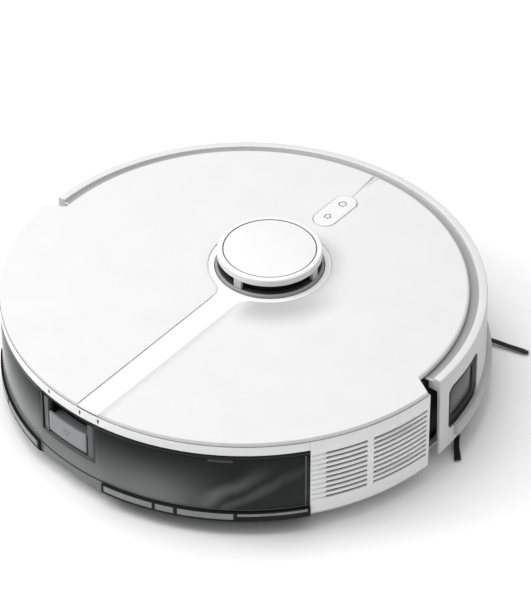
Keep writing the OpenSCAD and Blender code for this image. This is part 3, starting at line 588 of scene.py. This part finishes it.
def make_inlay():
    cut = math.degrees(math.asin((STRIP_HALF - INLAY_GAP) / INLAY_REAR_R))
    outer = [(x, y, 0.7, 0.7) for x, y in arc(0, 0, INLAY_REAR_R, 180 - cut, 180 + cut, 10)]
    body = [(x, y + INLAY_GAP) for x, y in flare(-1, True)]
    end = 180 - FLARE_END
    body += arc(TURRET_X, 0, RING_R - INLAY_GAP, -end + 1.5, end - 1.5, 150)
    body += [(x, y - INLAY_GAP) for x, y in flare(1, False)]
    outer += [(x, y, 0.18, 0.18) for x, y in body]
    hole = [(x, y, 0.25, 0.25) for x, y in arc(TURRET_X, 0, 39.8, 360, 0, 120)[:-1]]
    mesh = plate_mesh("inlay", [outer, hole], 79.3, INLAY_Z, lip=0.1, seg=3)
    add_piece("inlay", mesh, "chassis", MATERIALS["white_smooth"],
              ["strip_inlay"], smooth=40)
    # A dark seat seen through the gap between the inlay and the turret's ring: painted shade
    seat = lathe_mesh("turret_seat", fillet([(38.9, 77.2), (46, 77.2), (46, 79.2), (38.9, 79.2)],
                                            0.1), centre=(TURRET_X, 0))
    add_piece("turret_seat", seat, "chassis", SHADOW_GAP)


# ---- Key -------------------------------------------------------------------------------------

KEY_TOP = 82.55
POWER_X, HOME_X = 115.9, 98.0
ICON_LINE = 0.62


def key_icon(name, loops):
    """Thin raised print on the key: each loop is a closed outline wound anticlockwise."""
    bm = bmesh.new()
    for loop in loops:
        skin(bm, [[bm.verts.new((x * MM, y * MM, z * MM)) for x, y in loop]
                  for z in (KEY_TOP - 0.1, KEY_TOP + 0.06)])
    add_piece(name, to_mesh(name, bm), "key", INK)


def stroke(points, width=ICON_LINE):
    """Quads that draw a line of the given width through the points."""
    quads = []
    for start, end in zip(points, points[1:]):
        a, b = Vector(start), Vector(end)
        d = (b - a).normalized()
        s = Vector((-d.y, d.x)) * width / 2
        e = d * width * 0.45
        quads.append([tuple(a - s - e), tuple(b - s + e), tuple(b + s + e), tuple(a + s - e)])
    return quads


def turned(points, cx):
    """Points turned a quarter clockwise about (0, 0) and set round (cx, 0), to face the front."""
    return [(cx + y, -x) for x, y in points]


def make_key():
    loop = [(x, y, 1.0, 0.8) for x, y in stadium_points(KEY_X, 41.5, 17.8, 28)]
    mesh = plate_mesh("key", [loop], 79.2, KEY_TOP, lip=0.1, seg=5)
    add_piece("key", mesh, "key", MATERIALS["pale_trim"], ["key_pill"], smooth=45)
    circle = stroke(turned(arc(0, 0, 2.7, 35, 325, 24), POWER_X))
    key_icon("key_icon_power", circle + stroke(turned([(0.9, 0), (3.5, 0)], POWER_X)))
    roof = turned([(-2.6, -0.4), (0, 2.6), (2.6, -0.4)], HOME_X)
    walls = turned([(-1.8, 0.2), (-1.8, -2.6), (1.8, -2.6), (1.8, 0.2)], HOME_X)
    key_icon("key_icon_home", stroke(roof) + stroke(walls))


# ---- Turret ----------------------------------------------------------------------------------

POST_ANGLES = [0, 82.5, 180, 277.5]


def turret_part(name, corners, radii, mat, nodes=(), seg=4):
    """A ring or disc round the turret's axis; corners are (radius, height)."""
    mesh = lathe_mesh(name, fillet(corners, radii, seg), steps=160, centre=(TURRET_X, 0))
    add_piece(name, mesh, "turret", mat, nodes, smooth=40)


def make_turret():
    turret_part("turret_cap", [(0, 92.5), (32.6, 92.5), (34.4, 90.3), (37.9, 90.3), (37.9, 95.7),
                               (33.9, 95.7), (33.9, 94.4), (0, 94.4)],
                [0, 1.5, 0.6, 0.3, 1.3, 0.25, 0, 0], TURRET_WHITE, nodes=["turret_cap"], seg=5)
    turret_part("turret_sill", [(33.5, 78.0), (39.3, 78.0), (39.2, 82.6), (38.8, 83.0),
                                (33.5, 83.0)], [0, 0, 0.4, 0.2, 0.5], RIM_SHADE)
    turret_part("turret_ring", [(33.5, 77.0), (42.5, 77.0), (42.5, 78.2), (33.5, 78.2)],
                [0, 0.2, 0.3, 0], MATERIALS["white_smooth"])
    # A dark ring in the well under the cap, over the sill's inner top: painted shade
    turret_part("turret_well", [(33.6, 82.0), (37.5, 82.0), (37.5, 83.08), (33.6, 83.08)], 0.1,
                SHADOW_GAP)
    for i, at in enumerate(POST_ANGLES):
        post = [(34.6, 82.6), (37.85, 82.6), (37.85, 90.7), (34.6, 90.7)]
        mesh = lathe_mesh(f"turret_post_{i}", post, at - 5, at + 5, 10, (TURRET_X, 0))
        add_piece(f"turret_post_{i}", mesh, "turret", POST_GREY, bevel=0.4)
    turret_part("turret_groove", [(32.4, 94.3), (34.0, 94.3), (34.0, 95.46), (32.4, 95.4)], 0.05,
                MARK_SHADE, seg=2)
    turret_part("turret_disc", [(0, 94.5), (33.3, 94.5), (33.3, 95.5), (0, 95.68)],
                [0, 0, 0.5, 0], MATERIALS["pale_trim"], ["turret_disc"])
    refine("lidar_rotor", 0.3, MATERIALS["black_frame"])


# ---- Bumper band -----------------------------------------------------------------------------

def make_band():
    profile = fillet([(173.1, 19.4), (176.5, 19.4), (177.6, 21.2), (177.6, 27.4), (176.1, 29.6),
                      (173.0, 29.6)], [0, 0.8, 1.6, 1.8, 0.8, 0], 4)
    mesh = lathe_mesh("bumper_band", profile, -84.5, 84.5, 150)
    add_piece("bumper_band", mesh, "bumper", MATERIALS["soft_band"],
              ["bumper_band"], bevel=0.3)


# ---- Side brush ------------------------------------------------------------------------------

SIDE_BRUSH_AT = Vector((71.0, -124.0))
STRANDS, STRAND_RINGS, STRAND_RADIUS = 84, 19, 0.24
# Each tuft's middle line, as distances from the brush's axis and the degrees it points at
TUFTS = [
    [(9, 11), (26, 12), (44, 11), (57, 8.5), (63.3, 3.1), (67.8, -10.6), (75.5, -21.9)],
    [(9, -113), (26, -119), (44, -128), (58, -133.5), (67, -135.5), (75, -136), (81, -136.5)],
    [(9, 125), (26, 122), (44, 117), (58, 111), (66, 107), (73, 102), (78, 98)],
]


def along(points, f):
    """The place at the share f of the smooth curve through the points, and the way it runs."""
    at = min(f * (len(points) - 1), len(points) - 1.001)
    i = int(at)
    t = at - i
    p0, p1 = points[max(i - 1, 0)], points[i]
    p2, p3 = points[i + 1], points[min(i + 2, len(points) - 1)]
    place = 0.5 * (2 * p1 + (p2 - p0) * t + (2 * p0 - 5 * p1 + 4 * p2 - p3) * t * t
                   + (3 * p1 - p0 - 3 * p2 + p3) * t * t * t)
    return place, (p2 - p1).normalized()


def make_bristles():
    """Three tufts of strands that thin out and sink towards the floor at their tips."""
    for tuft, line in enumerate(TUFTS):
        bm = bmesh.new()
        points = [SIDE_BRUSH_AT + Vector((r * math.cos(math.radians(a)),
                                          r * math.sin(math.radians(a)))) for r, a in line]
        for _ in range(STRANDS):
            across = random.uniform(-1.0, 1.0)
            up = random.uniform(-0.5, 1.0)
            short = random.uniform(0.93, 1.0)
            stray = random.gauss(0, 0.35)
            rings = []
            for k in range(STRAND_RINGS):
                f = k / (STRAND_RINGS - 1) * short
                p, d = along(points, f)
                side = Vector((-d.y, d.x))
                p = p + side * (across * (1.5 + 0.45 * f) + stray * f * f)
                rad = STRAND_RADIUS * (1 - 0.3 * f)
                z = max(6.2 - 4.4 * f + up * (1 - 0.35 * f), 0.35 + rad)
                rings.append([bm.verts.new(((p.x + s * rad * side.x) * MM,
                                            (p.y + s * rad * side.y) * MM, (z + u * rad) * MM))
                              for s, u in ((1, 0), (0, 1), (-1, 0), (0, -1))])
            skin(bm, rings)
        name = f"side_brush_tuft_{tuft}"
        add_piece(name, to_mesh(name, bm), "side_brush", MATERIALS["bristle"],
                  ["side_brush_bristles"] if tuft == 0 else [])


# ---- Main brush ------------------------------------------------------------------------------

BRUSH_X, BRUSH_Z = -36.0, 21.0
SLEEVE_R, SLEEVE_LENGTH = 10.2, 150
VANES, VANE_LENGTH, VANE_STEPS = 6, 149.2, 40
VANE_LEAD = 34                      # degrees that a vane's ends lead its middle by
# Half of a vane's section, as distances from the axis and half its thickness
VANE_SECTION = [(9.4, 1.5), (17.6, 0.7), (19.4, 0.95)]


def make_main_brush():
    """Six bowed rubber vanes on a sleeve."""
    section = VANE_SECTION + [(r, -half) for r, half in reversed(VANE_SECTION)]
    bm = bmesh.new()
    for vane in range(VANES):
        rings = []
        for i in range(VANE_STEPS + 1):
            y = VANE_LENGTH * (i / VANE_STEPS - 0.5)
            lead = math.radians(vane * 360 / VANES + VANE_LEAD * abs(y) / (SLEEVE_LENGTH / 2))
            rings.append([bm.verts.new(((BRUSH_X + r * math.cos(lead + half / r)) * MM, y * MM,
                                        (BRUSH_Z + r * math.sin(lead + half / r)) * MM))
                          for r, half in section])
        skin(bm, rings)
    add_piece("brush_vanes_bowed", to_mesh("brush_vanes_bowed", bm), "main_brush",
              MATERIALS["rubber_vane"], ["brush_vanes"])
    bm = bmesh.new()
    bmesh.ops.create_cone(bm, cap_ends=True, segments=48, radius1=SLEEVE_R * MM,
                          radius2=SLEEVE_R * MM, depth=SLEEVE_LENGTH * MM)
    for v in bm.verts:
        v.co = Vector((v.co.x + BRUSH_X * MM, v.co.z, v.co.y + BRUSH_Z * MM))
    add_piece("brush_sleeve", to_mesh("brush_sleeve", bm), "main_brush",
              MATERIALS["rubber_vane"], bevel=0.5)


# ---- Mop cloth -------------------------------------------------------------------------------

MOP_R, MOP_HALF, MOP_FRONT = 160, 122, -78
PILE_R, PILE_HALF, PILE_FRONT = 159.2, 121.5, -78.4
PILE_STEP, PILE_ROWS, PILE_COLUMNS = 2.025, 41, 121
PILE_REST, PILE_TOP = 1.3, 3.05
SEAM_EVERY = 12                     # columns from one sewn channel to the next
PUFF_FRAMES, PUFF_MOST = 20, 0.75


def mop_outline():
    """An arc behind, cut off straight in front and at both ends."""
    a = math.degrees(math.acos(-MOP_FRONT / MOP_R))
    curve = [p for p in arc(0, 0, MOP_R, 180 - a, 180 + a, 60) if abs(p[1]) <= MOP_HALF]
    end = -math.sqrt(MOP_R ** 2 - MOP_HALF ** 2)
    return [(MOP_FRONT, MOP_HALF), (end, MOP_HALF), *curve, (end, -MOP_HALF),
            (MOP_FRONT, -MOP_HALF)]


def puff(ob, pinned):
    """Fills a closed pad with air by cloth simulation, with some points held, and then scales
    the result so that no point moves by more than PUFF_MOST."""
    rest = [v.co.copy() for v in ob.data.vertices]
    group = ob.vertex_groups.new(name="pin")
    group.add(pinned, 1.0, "REPLACE")
    mod = ob.modifiers.new("cloth", "CLOTH")
    mod.settings.vertex_group_mass = "pin"
    mod.settings.quality = 4
    mod.settings.mass = 0.1
    mod.settings.use_pressure = True
    mod.settings.uniform_pressure_force = 4.0
    mod.settings.effector_weights.gravity = 0.0
    mod.collision_settings.use_collision = False
    scene = bpy.context.scene
    for f in range(1, PUFF_FRAMES + 1):
        scene.frame_set(f)
    graph = bpy.context.evaluated_depsgraph_get()
    moved = [v.co.copy() for v in ob.evaluated_get(graph).data.vertices]
    scene.frame_set(1)
    ob.modifiers.remove(mod)
    ob.vertex_groups.clear()
    most = max((m - r).length for m, r in zip(moved, rest))
    share = min(1.0, PUFF_MOST * MM / most) if most else 0.0
    for v, m, r in zip(ob.data.vertices, moved, rest):
        v.co = r + (m - r) * share


def pile_pad():
    """A closed pad of two layers of squares, with the points that stay where they are and those
    of them that are sewn down. Side 0 is the bottom."""
    bm = bmesh.new()
    rows = {}
    xs = [PILE_FRONT - PILE_STEP * i for i in range(PILE_ROWS)]
    ys = [-PILE_HALF + PILE_STEP * j for j in range(PILE_COLUMNS)]
    for side, z in ((0, PILE_REST), (1, PILE_TOP)):
        for i, x in enumerate(xs):
            for j, y in enumerate(ys):
                if math.hypot(x, y) <= PILE_R:
                    rows[side, i, j] = bm.verts.new((x * MM, y * MM, z * MM))
    rim = {}
    for i in range(PILE_ROWS - 1):
        for j in range(PILE_COLUMNS - 1):
            keys = [(i, j), (i + 1, j), (i + 1, j + 1), (i, j + 1)]
            if all((0, *k) in rows for k in keys):
                bm.faces.new([rows[(0, *k)] for k in keys])
                bm.faces.new([rows[(1, *k)] for k in keys[::-1]])
                for a, b in zip(keys, keys[1:] + keys[:1]):
                    if (b, a) in rim:
                        del rim[b, a]
                    else:
                        rim[a, b] = True
    for a, b in rim:
        bm.faces.new((rows[(0, *b)], rows[(0, *a)], rows[(1, *a)], rows[(1, *b)]))
    held = {k for pair in rim for k in pair}
    for key, v in list(rows.items()):
        if not v.link_faces:
            bm.verts.remove(v)
            del rows[key]
    bm.verts.index_update()
    pinned, sewn = [], set()
    for (side, i, j), v in rows.items():
        if side or (i, j) in held or j % SEAM_EVERY == 0:
            pinned.append(v.index)
            if not side:
                sewn.add(v.index)
    return bm, pinned, sewn


def make_mop():
    loop = [(x, y, 0.9, 0.9) for x, y in mop_outline()]
    mesh = plate_mesh("mop_backing", [loop], 3.0, 5.9, lip=0.3, seg=3, foot=0.5)
    add_piece("mop_backing", mesh, "mop", MATERIALS["grey_plastic"], ["mop_cloth"])
    bm, pinned, sewn = pile_pad()
    bm.normal_update()
    area = sum(f.calc_area() for f in bm.faces if abs(f.normal.z) > 0.9) / 2
    cloth = add_piece("mop_cloth_pile", to_mesh("mop_cloth_pile", bm), "mop",
                      MATERIALS["mop_fabric"], smooth=80)
    puff(cloth, pinned)
    for v in cloth.data.vertices:
        if v.index in sewn:
            v.co.z += 0.25 * MM
        elif v.co.z < 2 * MM:
            v.co.z = max(v.co.z + random.uniform(-0.1, 0.1) * MM, 0.35 * MM)


# ---- Tank details ----------------------------------------------------------------------------

WALL_R = 174.2                      # just inside the outer face of the tank's wall
LATCH_ANGLE, LATCH_Z = 173.0, 48.0


def bent_box(name, r0, r1, z0, z1, a0, a1, body, mat, nodes=(), bevel=0.2):
    """A box bent round the robot's axis, between two radii, two heights and two angles."""
    mesh = lathe_mesh(name, [(r0, z0), (r1, z0), (r1, z1), (r0, z1)], a0, a1,
                      max(4, int(abs(a1 - a0))))
    add_piece(name, mesh, body, mat, nodes, bevel)


def make_latch_mark():
    """A generic triangle, as three raised strokes on the latch's face."""
    corners = [(0, -2.6), (2.7, 1.6), (-2.7, 1.6)]
    bm = bmesh.new()
    for a, b in zip(corners, corners[1:] + corners[:1]):
        a, b = Vector(a), Vector(b)
        d = (b - a).normalized() * 0.25
        s = Vector((-d.y, d.x))
        quad = [a - s - d, b - s + d, b + s + d, a + s - d]
        skin(bm, [[on_wall(bm, r, math.radians(LATCH_ANGLE) + p.x / r, LATCH_Z + p.y)
                   for p in quad] for r in (174.3, 174.68)])
    add_piece("latch_mark", to_mesh("latch_mark", bm), "latch", INK)


def make_latch():
    bent_box("latch_face", 172.6, 174.6, 40.0, 56.0, 166.9, 179.1, "latch",
             MATERIALS["latch_grey"], ["tank_latch"], bevel=0.5)
    bent_box("latch_body", 164.4, 172.8, 40.6, 53.5, 167.2, 178.8, "latch",
             RECESS_GREY, bevel=0.5)
    make_latch_mark()
    grey, dark = SMOKE_GREY, MATERIALS["dark_plastic"]
    bent_box("latch_recess_back", 160.6, 161.2, 50.0, 69.0, 164.6, 181.3, "tank", grey,
             bevel=0.1)
    for name, a0, a1, z0, z1, r in (("latch_bezel_left", 164.9, 166.5, 36.6, 66.6, WALL_R),
                                    ("latch_bezel_right", 179.6, 181.2, 36.6, 66.6, WALL_R),
                                    ("latch_bezel_foot", 166.5, 179.6, 36.6, 39.4, 172.2)):
        bent_box(name, 170.2, r, z0, z1, a0, a1, "tank", grey, bevel=0.3)
    for name, a0, a1, z0, z1 in (("latch_line_left", 163.9, 164.5, 36.0, 67.2),
                                 ("latch_line_right", 181.2, 181.8, 35.2, 67.2),
                                 ("latch_line_foot", 164.3, 181.6, 35.2, 35.9)):
        bent_box(name, 173.6, 174.95, z0, z1, a0, a1, "tank", dark, bevel=0.1)
    bent_box("tank_tab", 172.6, 174.9, 64.6, 67.1, 209.6, 215.3, "tank", dark,
             bevel=0.3)


def make_tank_trim():
    """Raised beads along the foot and the ends of the tank's wall."""
    grey, dark = SMOKE_GREY, MATERIALS["black_frame"]
    bent_box("tank_bead", WALL_R, 175.0, 21.6, 22.3, 127.5, 232.5, "tank", grey,
             bevel=0.2)
    bent_box("tank_foot_line", WALL_R, 174.96, 20.7, 21.4, 127.5, 232.5, "tank", dark,
             bevel=0.1)
    for i, a in enumerate((127.7, 231.5)):
        bent_box(f"tank_end_{i}", WALL_R, 174.98, 22.3, 66.8, a, a + 0.35, "tank", grey,
                 bevel=0.1)
    bent_box("tank_foot_bright", 173.6, 174.94, 13.6, 14.3, 163.4, 183.2, "tank", LIP_WINDOW,
             bevel=0.1)


# The pale windows in the lip: where each starts and ends, in degrees, and its foot's height
LIP_WINDOWS = [
    (184.3, 196.6, 14.6), (197.4, 201.7, 14.6), (202.6, 215.3, 14.6), (216.2, 232.0, 17.4),
    (128.2, 145.0, 14.6), (146.0, 162.2, 14.6),
]


def make_bracket():
    refine("mop_bracket", 0.25, MATERIALS["black_frame"])
    for i, (a0, a1, foot) in enumerate(LIP_WINDOWS):
        bent_box(f"lip_window_{i}", 176.0, 176.66, foot, 19.6, a0, a1, "mop", LIP_WINDOW,
                 bevel=0.12)


# ---- Shell details ---------------------------------------------------------------------------

BODY_R = 175.0
MARK_ANGLES = (167.5, 177.7, 183.0)
MARK_HALF, MARK_TALL, MARK_Z, MARK_POINTS = 0.55, 1.6, 75.4, 16
SLOT_COUNT, SLOT_Z0, SLOT_PITCH, SLOT_HEIGHT = 10, 26.5, 4.36, 2.1
SLOT_ARCS = [(96.2, 111.8), (113.4, 123.5)]
SLOT_PLAY = 0.02
FLANGE_Z = 76.0


def make_rim_marks():
    """Three small oval marks on the rim behind."""
    for i, at in enumerate(MARK_ANGLES):
        bm = bmesh.new()
        rings = []
        for r in (BODY_R - 0.4, BODY_R + 0.05):
            turns = [2 * math.pi * k / MARK_POINTS for k in range(MARK_POINTS)]
            rings.append([on_wall(bm, r, math.radians(at) + MARK_HALF * math.cos(t) / BODY_R,
                                  MARK_Z + MARK_TALL * math.sin(t)) for t in turns])
        skin(bm, rings)
        name = f"rim_mark_{i}"
        add_piece(name, to_mesh(name, bm), "chassis", MARK_SHADE)


def make_vent_shadow_bars():
    """Painted shade: a dark bar inside each of the vents' slots, leaning out towards its top, that
    stands for the shade deep in the slot.
    """
    for side, sign in (("right", -1), ("left", 1)):
        bm = bmesh.new()
        for i in range(SLOT_COUNT):
            z = SLOT_Z0 + i * SLOT_PITCH
            low, high = z - SLOT_HEIGHT / 2 + SLOT_PLAY, z + SLOT_HEIGHT / 2 - SLOT_PLAY
            bar = [(171.8, low), (173.6, low), (173.95, high), (171.8, high)]
            for start, end in SLOT_ARCS:
                a0, a1 = sorted((sign * (start + SLOT_PLAY), sign * (end - SLOT_PLAY)))
                mesh = lathe_mesh("bar", bar, a0, a1, 12)
                bm.from_mesh(mesh)
                bpy.data.meshes.remove(mesh)
        name = f"vent_shadow_bar_{side}"
        # the bars are painted shade, drawn in the dark plastic's colour
        add_piece(name, to_mesh(name, bm), "chassis", MATERIALS["dark_plastic"])


def make_shell_details():
    bent_box("seam_line", 174.0, 174.8, 78.4, 78.66, 95.5, 264.5, "chassis", SEAM_SHADE,
             bevel=0.0)
    make_rim_marks()
    make_vent_shadow_bars()
    # A grey slope over the bumper's flange: painted shade in the groove between the cover and the
    # rim
    slope = [(158.9, FLANGE_Z + 0.5), (166.2, FLANGE_Z + 1.2), (166.2, FLANGE_Z + 1.75),
             (158.9, FLANGE_Z + 0.98)]
    mesh = lathe_mesh("bumper_flange_shade", slope, -90.4, 90.4, 180)
    add_piece("bumper_flange_shade", mesh, "bumper", RIM_SHADE)


# ---- Everything ------------------------------------------------------------------------------

add_camera()
add_surroundings()
make_cover()
make_inlay()
make_key()
make_turret()
make_band()
make_bristles()
make_main_brush()
make_mop()
make_latch()
make_tank_trim()
make_bracket()
make_shell_details()

# CAD nodes that only get softened edges, and how wide these are in mm
SOFTENED = {
    "upper_housing": 0.3, "vent_panel_right": 0.15, "vent_panel_left": 0.15,
    "bumper_shell": 0.4, "side_sensor_frame": 0.4, "side_sensor_glass": 0.2,
    "dock_sensor_window": 0.3, "battery_hatch": 0.3, "brush_guard": 0.4,
    "tank_shell": 0.4, "tank_lid": 0.4,
    "caster_fork": 0.3, "caster_wheel": 0.8, "side_brush_hub": 0.6, "tyre_right": 0.3,
    "tyre_left": 0.3, "wheel_hub_right": 0.4, "wheel_hub_left": 0.4, "wheel_arm_right": 0.5,
    "wheel_arm_left": 0.5,
}
for node, width in SOFTENED.items():
    refine(node, width)

for node, ob in frame["nodes"].items():
    ob.data.materials.clear()
    ob.data.materials.append(MATERIALS[SLOT_OF[node]])
